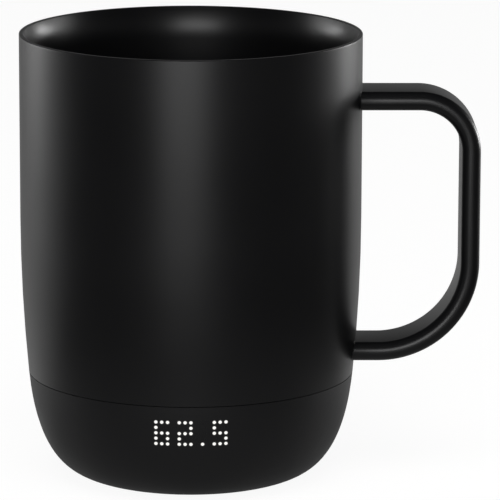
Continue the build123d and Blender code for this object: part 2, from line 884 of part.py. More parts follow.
# Bottom cover: it closes the base, and holds the foot ring, the contacts and the button
contact_top = cover_z + contact_thickness
pin_top = ledge_z + contact_pin_show
seal_radius = button_radius + fit_gap + seal_section
seal_z = (cover_z + ledge_z) / 2
sink_depth = cover_screw_head - cover_screw_radius
with BuildPart() as bottom_cover:
    with BuildSketch(Plane.XY.offset(cover_z)):
        Circle(cover_radius)
        with Locations((0, button_y)):
            Circle(button_radius + slide_gap, mode=Mode.SUBTRACT)
        with Locations((0, 0), (-ring_middle, 0), (ring_middle, 0)):
            Circle(contact_pin_radius + fit_gap, mode=Mode.SUBTRACT)
        with PolarLocations(foot_middle, screw_count, start_angle=cover_screw_turn):
            Circle(cover_screw_radius + fit_gap, mode=Mode.SUBTRACT)
    extrude(amount=cover_thickness)
    with BuildSketch(Plane.XY.offset(cover_z)):
        Circle(foot_outer + fit_gap)
        Circle(foot_inner - fit_gap, mode=Mode.SUBTRACT)
    extrude(amount=foot_top - cover_z, mode=Mode.SUBTRACT)
    with BuildSketch(Plane.XY.offset(cover_z)):
        Circle(ring_outer + fit_gap)
        Circle(ring_inner - fit_gap, mode=Mode.SUBTRACT)
        Circle(contact_radius + fit_gap)
    extrude(amount=contact_thickness, mode=Mode.SUBTRACT)
    with BuildSketch(Plane.XY.offset(seal_z - seal_section - fit_gap)):
        with Locations((0, button_y)):
            Circle(seal_radius + seal_section + fit_gap)
    extrude(amount=2 * (seal_section + fit_gap), mode=Mode.SUBTRACT)
    with Locations(Plane.XY.offset(foot_top)):
        with PolarLocations(foot_middle, screw_count, start_angle=cover_screw_turn):
            Cone(
                cover_screw_head + fit_gap,
                cover_screw_radius + fit_gap,
                sink_depth,
                align=(Align.CENTER, Align.CENTER, Align.MIN),
                mode=Mode.SUBTRACT,
            )
save(bottom_cover, "bottom_cover")

with BuildPart() as cover_screws:
    with Locations(Plane.XY.offset(foot_top)):
        with PolarLocations(foot_middle, screw_count, start_angle=cover_screw_turn):
            Cone(
                cover_screw_head,
                cover_screw_radius,
                sink_depth,
                align=(Align.CENTER, Align.CENTER, Align.MIN),
            )
            Cylinder(
                cover_screw_radius,
                cover_screw_length,
                align=(Align.CENTER, Align.CENTER, Align.MIN),
            )
    with BuildSketch(Plane.XY.offset(foot_top)):
        with PolarLocations(foot_middle, screw_count, start_angle=cover_screw_turn):
            RegularPolygon(socket_share * cover_screw_radius, hex_sides)
    extrude(amount=sink_depth, mode=Mode.SUBTRACT)
save(cover_screws, "cover_screws")


# Foot ring: soft rubber, glued in the cover's groove over the screws
with BuildPart() as foot_ring:
    with BuildSketch(Plane.XZ) as profile:
        with Locations((foot_middle, foot_top / 2)):
            Rectangle(foot_width, foot_top)
        fillet(profile.vertices().group_by(Axis.Y)[0], foot_edge)
    revolve(axis=Axis.Z)
save(foot_ring, "foot_ring")


# Charging contacts: a disc and a ring let into the cover, with pins through it to the leaf springs
with BuildPart() as charge_pad:
    with BuildSketch(Plane.XY.offset(cover_z)):
        Circle(contact_radius)
    extrude(amount=contact_thickness)
    with BuildSketch(Plane.XY.offset(contact_top)):
        Circle(contact_pin_radius)
    extrude(amount=pin_top - contact_top)
save(charge_pad, "charge_pad")

with BuildPart() as charge_ring:
    with BuildSketch(Plane.XY.offset(cover_z)):
        Circle(ring_outer)
        Circle(ring_inner, mode=Mode.SUBTRACT)
    extrude(amount=contact_thickness)
    with BuildSketch(Plane.XY.offset(contact_top)):
        with Locations((-ring_middle, 0), (ring_middle, 0)):
            Circle(contact_pin_radius)
    extrude(amount=pin_top - contact_top)
save(charge_ring, "charge_ring")

with BuildPart() as contact_springs:
    low_z = pin_top + leaf_thickness / 2
    high_z = board_z - leaf_thickness / 2
    for turn, pin_place in ((90, 0), (0, ring_middle), (180, ring_middle)):
        leaf_plane = radial_plane(turn, -leaf_width / 2)
        with BuildSketch(leaf_plane):
            with BuildLine(mode=Mode.PRIVATE):
                route = FilletPolyline(
                    (pin_place - contact_pin_radius, low_z),
                    (pin_place + contact_pin_radius, low_z),
                    (pin_place + contact_pin_radius + leaf_rise, high_z),
                    (pin_place + contact_pin_radius + leaf_rise + leaf_foot, high_z),
                    radius=[leaf_bend, leaf_bend],
                )
            trace(route, line_width=leaf_thickness)
        extrude(amount=-leaf_width)
save(contact_springs, "contact_springs")


# Power button in the cover, its seal, and the switch on the board that its stem presses
face_z = cover_z + button_recess
plunger_z = board_z - switch_height - plunger_show
with BuildPart() as power_button:
    with BuildSketch(Plane.XZ.offset(-button_y)):
        with BuildLine():
            Polyline(
                (0, face_z + button_dish),
                (button_radius - button_flange, face_z),
                (button_radius, face_z),
                (button_radius, ledge_z),
                (flange_radius, ledge_z),
                (flange_radius, ledge_z + button_flange_height),
                (stem_radius, ledge_z + button_flange_height),
                (stem_radius, plunger_z),
                (0, plunger_z),
                close=True,
            )
        make_face()
    revolve(axis=Axis((0, button_y, 0), (0, 0, 1)))
save(power_button, "power_button")

with BuildPart() as button_seal:
    with Locations((0, button_y, seal_z)):
        Torus(seal_radius, seal_section)
save(button_seal, "button_seal")

with BuildPart() as tact_switch:
    with BuildSketch(Plane.XY.offset(board_z - switch_height)):
        with Locations((0, button_y)):
            Rectangle(switch_side, switch_side)
    extrude(amount=switch_height)
    with BuildSketch(Plane.XY.offset(board_z - switch_height)):
        with Locations((0, button_y)):
            Circle(stem_radius + slide_gap)
    extrude(amount=plunger_hidden + button_travel + switch_room, mode=Mode.SUBTRACT)
save(tact_switch, "tact_switch")

with BuildPart() as switch_plunger:
    with BuildSketch(Plane.XY.offset(plunger_z)):
        with Locations((0, button_y)):
            Circle(stem_radius)
    extrude(amount=plunger_show + plunger_hidden)
save(switch_plunger, "switch_plunger")
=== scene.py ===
# %% [markdown]
# # A self heating mug
#
# The real mug is a steel cup hung inside a steel body. A moulded base closes it from below and holds the
# heater, two cells and a small dot readout. The CAD model already has every part in its real place, so this
# lesson keeps the parts whose shape is right and gives them their finishes. It models anew the three that
# the eye follows most: the body, the cup and the handle.
#
# The frame is loaded first. It hands over one object for each CAD part. The empty of a moving body is made
# when the first piece is attached to it.

# %% Load the frame
import json
from math import acos, asin, atan2, ceil, cos, degrees, hypot, pi, radians, sin, sqrt

import bmesh
import bpy
from mathutils import Matrix, Vector


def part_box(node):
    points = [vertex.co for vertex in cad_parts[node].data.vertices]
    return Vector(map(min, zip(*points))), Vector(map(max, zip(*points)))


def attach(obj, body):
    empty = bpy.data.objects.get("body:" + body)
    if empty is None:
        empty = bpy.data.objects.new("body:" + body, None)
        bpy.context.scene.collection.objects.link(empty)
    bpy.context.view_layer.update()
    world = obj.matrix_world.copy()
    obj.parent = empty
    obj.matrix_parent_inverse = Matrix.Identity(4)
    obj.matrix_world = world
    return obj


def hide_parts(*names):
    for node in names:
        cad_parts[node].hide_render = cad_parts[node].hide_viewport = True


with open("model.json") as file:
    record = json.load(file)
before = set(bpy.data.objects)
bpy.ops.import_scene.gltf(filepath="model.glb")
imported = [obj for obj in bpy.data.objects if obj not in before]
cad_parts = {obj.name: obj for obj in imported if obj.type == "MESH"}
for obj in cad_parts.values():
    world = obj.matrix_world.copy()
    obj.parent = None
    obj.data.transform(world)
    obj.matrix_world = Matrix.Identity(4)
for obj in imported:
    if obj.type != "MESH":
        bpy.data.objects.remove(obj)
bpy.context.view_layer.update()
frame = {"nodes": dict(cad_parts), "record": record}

parts = frame["nodes"]

# %% [markdown]
# ## Units and colours
#
# Blender works in metres and a mug is easier to think of in millimetres, so one factor turns the one into
# the other. Colours are written as they look on a screen, in hex. A shader wants linear light instead, and
# one function does that step for every colour here.

# %% Units and colours
MM = 0.001


def linear(hex_colour):
    """The linear red, green, blue and alpha of a screen colour such as 1a1a1b."""
    screen = [int(hex_colour[i : i + 2], 16) / 255 for i in (0, 2, 4)]
    return (*[c / 12.92 if c <= 0.04045 else ((c + 0.055) / 1.055) ** 2.4 for c in screen], 1)


print("a dark grey, 1a1a1b, is", [round(c, 4) for c in linear("1a1a1b")])

# %% [markdown]
# ## One function for every node
#
# A finish is a small graph of nodes. Each node needs a type, some settings, and values or links on its
# sockets. One function does all of that: a socket that is given another node's output is linked to it, and
# a socket that is given a value keeps the value.

# %% Add a node
def add_node(material, kind, inputs=(), **settings):
    """Add one node with its settings, and give or link its inputs, named or numbered."""
    made = material.node_tree.nodes.new(kind)
    for name, value in settings.items():
        setattr(made, name, value)
    for socket, value in dict(inputs).items():
        if isinstance(value, bpy.types.NodeSocket):
            material.node_tree.links.new(value, made.inputs[socket])
        else:
            made.inputs[socket].default_value = value
    return made


# %% [markdown]
# ## What all these finishes share
#
# A powder coat, a moulded plastic and a rolled metal differ in colour and gloss, but each has the same three
# things when seen closely: a colour that drifts a little over centimetres, a gloss that drifts with it, and
# a fine relief. So one recipe makes them all. The drift comes from a large noise and the relief from a small
# one, and both sizes are given in millimetres. A stretch makes the relief longer one way, as rolling does.

# %% A finish with drift and relief
def finish(name, colours, roughness, drift, grain, height, stretch=(1, 1, 1), detail=3, **shader):
    """Drift between two colours and two roughnesses, and add a grain. Drift, grain and height are in mm."""
    material = bpy.data.materials.new(name)
    material.use_nodes = True
    surface = material.node_tree.nodes["Principled BSDF"]
    for socket, value in shader.items():
        surface.inputs[socket.replace("_", " ")].default_value = value
    place = add_node(material, "ShaderNodeTexCoord").outputs["Object"]
    size = (1 / (drift * MM),) * 3
    wide = add_node(material, "ShaderNodeMapping", {"Vector": place, "Scale": size})
    slow = add_node(material, "ShaderNodeTexNoise", {"Vector": wide.outputs[0], "Scale": 1, "Detail": 2})
    blend = add_node(
        material,
        "ShaderNodeMix",
        {0: slow.outputs["Fac"], 6: linear(colours[0]), 7: linear(colours[1])},
        data_type="RGBA",
    )
    gloss = add_node(
        material,
        "ShaderNodeMapRange",
        {0: slow.outputs["Fac"], 1: 0.3, 2: 0.7, 3: roughness[0], 4: roughness[1]},
    )
    size = tuple(s / (grain * MM) for s in stretch)
    close = add_node(material, "ShaderNodeMapping", {"Vector": place, "Scale": size})
    fine = add_node(
        material, "ShaderNodeTexNoise", {"Vector": close.outputs[0], "Scale": 1, "Detail": detail}
    )
    relief = add_node(
        material, "ShaderNodeBump", {"Height": fine.outputs["Fac"], "Distance": height * MM, "Strength": 1}
    )
    driven = {"Base Color": blend.outputs[2], "Roughness": gloss.outputs[0], "Normal": relief.outputs[0]}
    for socket, source in driven.items():
        material.node_tree.links.new(source, surface.inputs[socket])
    return material


# %% [markdown]
# ## The coats on the steel
#
# The body and the handle are stainless steel with a black powder coat: a polyester powder, melted on. It
# flows out nearly flat and keeps a faint waviness of about a millimetre, called orange peel. That is what
# makes its highlights soft at the edges and never sharp. The cup has a thinner baked ceramic coat, which is
# a little smoother. In both, carbon black swallows nearly all the light, so what the eye sees is mostly the
# sheen. They could be painted as pictures, but noise at the coat's real scale holds up from any distance.

# %% Coats
# Satin: a lamp shows as a wide soft band with no edge.
body_coat = finish(
    "black_powder_coat_on_steel", ("0f0f10", "111112"), (0.31, 0.35), 34, 0.9, 0.0012, detail=4, IOR=1.35
)
# A shade darker and finer: the light inside the mouth stays soft and the depth stays black.
cup_coat = finish(
    "black_baked_ceramic_coat", ("0b0b0c", "0d0d0e"), (0.3, 0.34), 26, 0.7, 0.0008, detail=3, IOR=1.39
)
print("coats:", body_coat.name, "and", cup_coat.name)

# %% [markdown]
# ## A pen that draws and a ring that follows
#
# Turned and bent parts come from a line that is swept round an axis or from an outline that is pulled along
# a path. The spin operator does both. With an angle it sweeps its tip along an arc, and with no angle but a
# step it pulls the tip straight. The tip can be one vertex, which leaves a line behind it, or a ring of
# edges, which leaves a tube. So one function draws the wall of the cup and also bends the handle.

# %% The pen
ARC_STEP = radians(3)


def pull(mesh, tip, start, heading, moves):
    """Pull the tip in the x-z plane through straight runs, ("to", x, z), and arcs, ("arc", radius, turn)."""
    place = Vector((start[0], 0, start[1])) * MM
    for kind, first, second in moves:
        if kind == "to":
            step = Vector((first, 0, second)) * MM - place
            heading = atan2(step.z, step.x)
            swept = bmesh.ops.spin(
                mesh, geom=tip, cent=(0, 0, 0), axis=(0, -1, 0), angle=0, dvec=step, steps=1
            )
            place += step
        else:
            turn = radians(second)
            side = 1 if turn > 0 else -1
            centre = place + side * first * MM * Vector((-sin(heading), 0, cos(heading)))
            steps = max(4, ceil(abs(turn) / ARC_STEP))
            swept = bmesh.ops.spin(mesh, geom=tip, cent=centre, axis=(0, -1, 0), angle=turn, steps=steps)
            place = centre + Matrix.Rotation(turn, 3, (0, -1, 0)) @ (place - centre)
            heading += turn
        tip = swept["geom_last"]
    return tip


# %% [markdown]
# A finished bmesh becomes an object in the same way each time. Doubles are merged, the faces are turned to
# look outwards, and every face is smooth apart from those that meet at a real edge.

# %% From bmesh to object
SHARP = radians(40)
TURN_STEPS = 256


def turn_round(mesh):
    """Sweep the drawn line once round the upright axis."""
    drawn = mesh.verts[:] + mesh.edges[:]
    bmesh.ops.spin(
        mesh, geom=drawn, cent=(0, 0, 0), axis=(0, 0, 1), angle=2 * pi, steps=TURN_STEPS, use_merge=True
    )


def make_object(mesh, name, coat, body="mug"):
    """Clean the mesh and make it an object with its finish, riding on its body."""
    bmesh.ops.remove_doubles(mesh, verts=mesh.verts, dist=0.001 * MM)
    bmesh.ops.recalc_face_normals(mesh, faces=mesh.faces)
    data = bpy.data.meshes.new(name)
    mesh.to_mesh(data)
    mesh.free()
    data.polygons.foreach_set("use_smooth", [True] * len(data.polygons))
    data.set_sharp_from_angle(angle=SHARP)
    data.materials.append(coat)
    made = bpy.data.objects.new(name, data)
    bpy.context.scene.collection.objects.link(made)
    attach(made, body)
    low, high = (Vector(map(f, *(v.co for v in data.vertices))) / MM for f in (min, max))
    print(name, len(data.polygons), "faces,", [round(s, 1) for s in high - low], "mm")
    return made


# %% [markdown]
# ## The steel body
#
# The real body is a drawn tube, straight for its upper half and drawn in below along one long arc. Its top
# edge is welded to the cup's and rounded over. A lathe line gives all of that: down the outside along the
# arc, in across the cut foot, up the inside, over the lip and back. Spinning a line is chosen over bending a
# cylinder because every radius is then exactly the drawn one.

# %% Sizes of the body
low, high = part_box("outer_shell")
rim_radius, foot_z, top_z = high.x / MM, low.z / MM, high.z / MM
shell_wall = 0.8
taper_z = 69.66
taper_radius = 443.6
lip_round = 0.3
taper_turn = degrees(asin((taper_z - foot_z) / taper_radius))
print("body", round(2 * rim_radius, 1), "mm across, tapering by", round(taper_turn, 2), "degrees at its foot")

# %% Turn the body
steel = bmesh.new()
first = steel.verts.new((rim_radius * MM, 0, taper_z * MM))
inner_foot = (
    rim_radius - taper_radius + (taper_radius - shell_wall) * cos(radians(taper_turn)),
    taper_z - (taper_radius - shell_wall) * sin(radians(taper_turn)),
)
down = pull(steel, [first], (rim_radius, taper_z), -pi / 2, [("arc", taper_radius, -taper_turn)])
outer_foot = next(g for g in down if isinstance(g, bmesh.types.BMVert)).co / MM
across = pull(steel, down, (outer_foot.x, outer_foot.z), 0, [("to", *inner_foot)])
up = pull(
    steel, across, inner_foot, pi / 2 - radians(taper_turn), [("arc", taper_radius - shell_wall, taper_turn)]
)
pull(
    steel,
    up,
    (rim_radius - shell_wall, taper_z),
    pi / 2,
    [
        ("to", rim_radius - shell_wall, top_z),
        ("to", rim_radius - lip_round, top_z),
        ("arc", lip_round, -90),
        ("to", rim_radius, taper_z),
    ],
)
turn_round(steel)
steel_body = make_object(steel, "steel_body", body_coat)
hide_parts("outer_shell")

# %% [markdown]
# ## The cup
#
# The cup hangs in the body from the lip. Its mouth opens like a trumpet's: above the straight bore the wall
# leans out more and more along one arc, and meets the body in a thin lip. Each height of that arc mirrors
# another height of the room, so the light lies in it as a soft band. It could be a cone, but a cone mirrors
# one height only. The inside is drawn from the lip down to the middle of the floor, and the outside back
# up, so that the wall is closed all round.

# %% Sizes of the cup
cup_low, cup_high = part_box("inner_liner")
lip_radius, cup_top, cup_under = cup_high.x / MM, cup_high.z / MM, cup_low.z / MM
liner_wall = 0.6
bore_radius = 42.2
flare_turn = 22
cup_edge = 0.25
lip_flat = 0.08
lip_start = lip_radius - lip_flat
floor_corner = 8.0
lean = radians(flare_turn)
flare_radius = (lip_start - cup_edge * cos(lean) - bore_radius) / (1 - cos(lean))
flare_z = cup_top - cup_edge * (1 - sin(lean)) - flare_radius * sin(lean)
back_turn = degrees(acos((bore_radius + flare_radius - lip_radius) / (flare_radius - liner_wall)))
print("cup bore", 2 * bore_radius, "mm, flare arc of", round(flare_radius, 1), "mm")
print("the flare starts", round(cup_top - flare_z, 1), "mm below the lip")

# %% Turn the cup
floor_z = cup_under + liner_wall
cup = bmesh.new()
first = cup.verts.new((lip_start * MM, 0, cup_top * MM))
pull(
    cup,
    [first],
    (lip_start, cup_top),
    pi,
    [
        ("arc", cup_edge, 90 - flare_turn),
        ("arc", flare_radius, flare_turn),
        ("to", bore_radius, floor_z + floor_corner),
        ("arc", floor_corner, -90),
        ("to", 0, floor_z),
        ("to", 0, cup_under),
        ("to", bore_radius - floor_corner, cup_under),
        ("arc", floor_corner + liner_wall, 90),
        ("to", bore_radius + liner_wall, flare_z),
        ("arc", flare_radius - liner_wall, -back_turn),
        ("to", lip_radius, cup_top),
        ("to", lip_start, cup_top),
    ],
)
turn_round(cup)
steel_cup = make_object(cup, "steel_cup", cup_coat)
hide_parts("inner_liner")

# %% [markdown]
# ## The handle
#
# The handle is a flat steel tube with full round edges, bent twice in a bender and welded to the body. Its
# outline is one face with its corners bevelled round. That ring starts at the body, runs out along the
# upper arm, round the two bends and back in along the lower arm, as the tube does in the bender. A curve
# with a bevel could do this too, but its ends could not be cut to the body. At both ends the tube is coped,
# cut to the body's curve, and a small weld fillet, ground smooth under the coat, spreads onto the wall.

# %% Sizes of the handle
handle_low, handle_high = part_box("handle")
tube_width = (handle_high.y - handle_low.y) / MM
tube_thick = 4.94
round_share = 0.93
tube_round = round_share * tube_thick / 2
top_arm_z = handle_high.z / MM - tube_thick / 2
foot_arm_z = handle_low.z / MM + tube_thick / 2
grip_x = handle_high.x / MM - tube_thick / 2
top_bend, foot_bend = 13.6, 24.0
weld = 0.3
arm_start = 50.0
print("handle tube", round(tube_width, 1), "by", tube_thick, "mm, grip at", round(grip_x, 1))


def wall_radius(z):
    """Outside radius of the steel body at a height."""
    below = max(0, taper_z - z)
    return rim_radius - taper_radius + sqrt(taper_radius**2 - below**2)


# %% Bend the handle
tube = bmesh.new()
outline = bmesh.ops.create_grid(tube, x_segments=1, y_segments=1, size=0.5)["verts"]
bmesh.ops.scale(tube, verts=outline, vec=(tube_thick * MM, tube_width * MM, 1))
bmesh.ops.rotate(tube, verts=outline, cent=(0, 0, 0), matrix=Matrix.Rotation(radians(90), 3, "Y"))
bmesh.ops.bevel(
    tube, geom=tube.verts[:], offset=tube_round * MM, offset_type="OFFSET", segments=12, profile=0.5,
    affect="VERTICES", material=-1,
)
bmesh.ops.translate(tube, verts=tube.verts[:], vec=(arm_start * MM, 0, top_arm_z * MM))
bmesh.ops.delete(tube, geom=tube.faces[:], context="FACES_ONLY")
first_ring = tube.edges[:]
last = pull(
    tube,
    tube.verts[:] + first_ring,
    (arm_start, top_arm_z),
    0,
    [
        ("to", grip_x - top_bend, top_arm_z),
        ("arc", top_bend, -90),
        ("to", grip_x, foot_arm_z + foot_bend),
        ("arc", foot_bend, -90),
    ],
)
last_ring = [g for g in last if isinstance(g, bmesh.types.BMEdge)]

# %% [markdown]
# The two ends are drawn on in the same way: each ring is pulled to the wall in a few steps. On the way it
# grows along a quarter circle, which is the weld's fillet, and each of its points follows the round wall.

# %% Weld the ends
WELD_STEPS = 5
BURIED = 0.3


def weld_end(ring, arm_z):
    """Carry an end ring to the wall, growing into a fillet, and close it inside the wall."""
    outline = {v: (v.co.y, v.co.z - arm_z * MM) for e in ring for v in e.verts}
    for step in range(WELD_STEPS + 2):
        swept = bmesh.ops.extrude_edge_only(tube, edges=ring)["geom"]
        ring = [g for g in swept if isinstance(g, bmesh.types.BMEdge)]
        angle = pi / 2 * max(0, 1 - step / WELD_STEPS)
        out = weld * (1 - cos(angle)) if step <= WELD_STEPS else -BURIED
        grow = weld * (1 - sin(angle))
        grown = {}
        for vert in {v for e in ring for v in e.verts}:
            source = next(e.other_vert(vert) for e in vert.link_edges if e.other_vert(vert) in outline)
            y, z = grown[vert] = outline[source]
            vert.co.y = y * (1 + 2 * grow / tube_width)
            vert.co.z = arm_z * MM + z * (1 + 2 * grow / tube_thick)
            vert.co.x = sqrt((wall_radius(vert.co.z / MM) * MM) ** 2 - vert.co.y**2) + out * MM
        outline = grown
    bmesh.ops.edgeloop_fill(tube, edges=ring)


weld_end(first_ring, top_arm_z)
weld_end(last_ring, foot_arm_z)
strap_handle = make_object(tube, "strap_handle", body_coat)
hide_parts("handle")

# %% [markdown]
# ## Plastics and rubbers
#
# The base is moulded ABS with a spark eroded mould texture: tiny even pits that spread a highlight wide and
# dull. The real pits are about 0.05 mm and would vanish in the picture, so they are drawn at 0.25 mm. The
# same recipe gives the softer rubber of the foot and the smooth plastics inside. A separate graph for each
# would give the same looks for more work, because only the colour, gloss and grain differ.

# %% Moulded plastics and rubbers
moulded = {
    # Dull and even, a little lighter than the coat above it.
    "base_plastic": finish(
        "black_abs_spark_eroded", ("111112", "131314"), (0.46, 0.52), 20, 0.25, 0.004, IOR=1.3
    ),
    # The same texture from a rougher mould, so that the underside looks greyer.
    "cover_plastic": finish(
        "black_abs_cover_spark_eroded", ("131314", "171718"), (0.46, 0.52), 16, 0.3, 0.006, IOR=1.5
    ),
    # Polished where a finger presses.
    "button_plastic": finish(
        "grey_abs_button_satin", ("37383a", "3c3d3f"), (0.34, 0.4), 3, 0.2, 0.002, IOR=1.5
    ),
    # Glass fibres near the surface give a faint mottle.
    "tray_plastic": finish(
        "dark_glass_filled_nylon", ("2a2b2d", "333437"), (0.45, 0.55), 8, 0.4, 0.01, IOR=1.53
    ),
    # Bright and smooth, to throw the light forward.
    "white_plastic": finish(
        "white_reflector_abs", ("dededa", "e6e6e2"), (0.35, 0.42), 5, 0.3, 0.003, IOR=1.5
    ),
    # Undyed nylon is ivory.
    "connector_plastic": finish(
        "ivory_nylon_moulded", ("d6cfbc", "e0dac9"), (0.38, 0.45), 4, 0.3, 0.004, IOR=1.53
    ),
    # Chip packages are matt, with a fine sandy surface.
    "chip_black": finish(
        "black_moulding_epoxy", ("222324", "2b2c2d"), (0.5, 0.6), 2, 0.08, 0.004, IOR=1.55
    ),
    # Silicone has a soft sheen.
    "seal_rubber": finish(
        "black_silicone_rubber", ("191919", "1f1f1f"), (0.5, 0.58), 6, 0.3, 0.006, IOR=1.41
    ),
    # The foot is the dullest black of all, so that it grips.
    "foot_rubber": finish(
        "black_soft_foot_rubber", ("1b1b1c", "242425"), (0.62, 0.72), 7, 0.35, 0.012, IOR=1.45
    ),
    # Cut foam shows its cells, half a millimetre across.
    "foam": finish(
        "charcoal_closed_cell_foam", ("26272a", "333438"), (0.8, 0.9), 4, 0.5, 0.08, detail=5
    ),
}
print(len(moulded), "moulded finishes")

# %% [markdown]
# ## Metals
#
# All of these are metals, so their colour sits in the reflection and their metallic value is one. Rolling
# and brushing leave lines one way. They could come from an anisotropic shader, but a noise stretched along
# the lines shows them as lines when the eye is near. They are drawn coarser than real so that they show.

# %% Metals
metals = {
    # Bluish and cloudy.
    "zinc_steel": finish(
        "zinc_plated_steel", ("a9adb3", "c2c5c9"), (0.28, 0.4), 2, 0.3, 0.002, Metallic=1.0
    ),
    # Greyer, with rolling lines.
    "plain_steel": finish(
        "cold_rolled_steel", ("9a9a98", "aeadab"), (0.3, 0.42), 10, 0.25, 0.002, (1, 12, 1), Metallic=1.0
    ),
    # The palest, with the lines of the rolls across it.
    "spreader": finish(
        "rolled_aluminium_sheet", ("c6c8ca", "d4d5d6"), (0.25, 0.35), 12, 0.2, 0.002, (14, 1, 1), Metallic=1.0
    ),
    # Nearly a mirror, with a warm grey tint.
    "nickel": finish(
        "nickel_strip", ("b5ae9f", "c6c0b2"), (0.18, 0.26), 4, 0.15, 0.001, (10, 1, 1), Metallic=1.0
    ),
    # Smooth and warm, with a faint brush mark from the brass below.
    "gold_contact": finish(
        "gold_plated_brass", ("d9a945", "e7bd62"), (0.16, 0.24), 3, 0.12, 0.0012, (1, 8, 1), Metallic=1.0
    ),
}
print(len(metals), "metals")

# %% [markdown]
# ## Films, wires and fibres
#
# The rest is thin and soft. Most of it lies inside the base and is seen only when the mug is taken apart, so
# it gets the common recipe too: its grain ranges from smooth shrink film to loose fibre.

# %% Films, wires and fibres
films = {
    # Glossy, with the slow ripple of a sleeve that has shrunk.
    "cell_wrap": finish(
        "blue_shrink_film", ("1d4f86", "245a95"), (0.16, 0.22), 9, 1.4, 0.006, IOR=1.54
    ),
    # Polyimide is amber and glossy.
    "film": finish(
        "amber_polyimide_film", ("9a5a12", "ac6818"), (0.2, 0.28), 6, 0.8, 0.003, IOR=1.68
    ),
    # The same film, with the ridges of the tracks along it.
    "flat_cable": finish(
        "amber_flat_cable", ("a36a1e", "b5782a"), (0.24, 0.3), 3, 0.5, 0.002, (6, 1, 1), IOR=1.68
    ),
    # Loose pressed fibres, with no sheen at all.
    "insulation": finish(
        "pressed_glass_fibre", ("cfc9b8", "e2dccb"), (0.8, 0.95), 5, 0.35, 0.06, (1, 5, 1), detail=6
    ),
    # Silicone on a wire is softer and duller than vinyl.
    "red_wire": finish(
        "red_silicone_insulation", ("a3201c", "b52a24"), (0.38, 0.46), 4, 0.4, 0.004, IOR=1.41
    ),
    "grey_wire": finish(
        "grey_silicone_insulation", ("77797c", "85878a"), (0.38, 0.46), 3, 0.3, 0.003, IOR=1.41
    ),
    # A drop of epoxy sets glossy.
    "bead": finish(
        "black_epoxy_bead", ("1b1a19", "242322"), (0.12, 0.2), 1, 0.3, 0.004, IOR=1.55
    ),
}
print(len(films), "films, wires and fibres")

# %% [markdown]
# ## Circuit boards
#
# A board is glass fibre under a green lacquer. Copper tracks lie below the lacquer and show as lighter
# lines. Real tracks would need a layout, and the mortar lines of a brick pattern are near enough to runs of
# track. They change the colour only, so the lacquer on top stays smooth and glossy.

# %% Circuit board
TRACK_RUN, TRACK_ROW, TRACK_WIDTH = 4.2, 1.1, 0.11
board = finish("green_solder_mask", ("0d4a25", "11552c"), (0.22, 0.3), 8, 0.5, 0.002, IOR=1.52)
surface = board.node_tree.nodes["Principled BSDF"]
mask = surface.inputs["Base Color"].links[0].from_socket
place = add_node(board, "ShaderNodeTexCoord").outputs["Object"]
grid = add_node(board, "ShaderNodeMapping", {"Vector": place, "Scale": (1 / MM, 1 / MM, 1 / MM)})
tracks = add_node(
    board,
    "ShaderNodeTexBrick",
    {"Vector": grid.outputs[0], "Color1": (0, 0, 0, 1), "Color2": (0, 0, 0, 1), "Mortar": (1, 1, 1, 1),
     "Scale": 1, "Mortar Size": TRACK_WIDTH, "Brick Width": TRACK_RUN, "Row Height": TRACK_ROW},
)
copper = add_node(
    board, "ShaderNodeMix", {0: tracks.outputs["Color"], 6: mask, 7: linear("2b7a40")}, data_type="RGBA"
)
board.node_tree.links.new(copper.outputs[2], surface.inputs["Base Color"])
print("board tracks every", TRACK_ROW, "mm")

# %% [markdown]
# ## The readout
#
# Each dot is the end of a clear pin, with a white light chip behind it. A lit pin is brightest on its axis
# and dims towards its edge. A lamp behind each pin would need a long render, so the end glows by itself, by
# the distance to the nearest point of the matrix. Unlit pins are textured like the base and vanish in it.

# %% Readout pins
PIN_PITCH, READOUT_Z = 1.5, 20.8
CORE_RADIUS, EDGE_RADIUS = 0.3, 0.52
CORE_GLOW, EDGE_GLOW = 1.05, 0.1
lit = finish("clear_pin_lit_white", ("2c2c2b", "323231"), (0.25, 0.3), 1, 0.3, 0.001, IOR=1.49)
glow = lit.node_tree.nodes["Principled BSDF"]
glow.inputs["Emission Color"].default_value = linear("fffdf9")
place = add_node(lit, "ShaderNodeTexCoord").outputs["Object"]
pins = add_node(
    lit, "ShaderNodeMapping",
    {"Vector": place, "Location": (0.5, 0, 0.5 - READOUT_Z / PIN_PITCH),
     "Scale": (1 / (PIN_PITCH * MM), 0, 1 / (PIN_PITCH * MM))},
)
in_cell = add_node(lit, "ShaderNodeVectorMath", {0: pins.outputs[0]}, operation="FRACTION")
off_axis = add_node(
    lit, "ShaderNodeVectorMath", {0: in_cell.outputs[0], 1: (0.5, 0, 0.5)}, operation="DISTANCE"
)
core = add_node(
    lit, "ShaderNodeMapRange",
    {0: off_axis.outputs["Value"], 1: CORE_RADIUS / PIN_PITCH, 2: EDGE_RADIUS / PIN_PITCH,
     3: CORE_GLOW, 4: EDGE_GLOW},
    interpolation_type="SMOOTHSTEP",
)
lit.node_tree.links.new(core.outputs[0], glow.inputs["Emission Strength"])
smoked = finish("smoked_pin_unlit", ("111112", "131314"), (0.46, 0.52), 20, 0.25, 0.004, IOR=1.3)
chip = finish("white_light_chip", ("e8e6d8", "f2f0e4"), (0.3, 0.36), 1, 0.2, 0.002, IOR=1.5)
readout = {"lit_pin": lit, "dark_pin": smoked, "led_white": chip, "circuit_board": board}
print("readout finishes:", ", ".join(sorted(readout)))

# %% [markdown]
# ## Dress the CAD parts
#
# Every CAD part that stays gets the finish of its material slot. Its mesh isn't touched: only the material
# on it changes.

# %% Dress the parts
finishes = {
    "steel_black_coat": body_coat,
    "cup_black_coat": cup_coat,
    "handle_black_coat": body_coat,
    **moulded,
    **metals,
    **films,
    **readout,
}
for row in frame["record"]["subparts"]:
    part = parts[row["node"]]
    part.data.materials.clear()
    part.data.materials.append(finishes[row["material_slot"]])
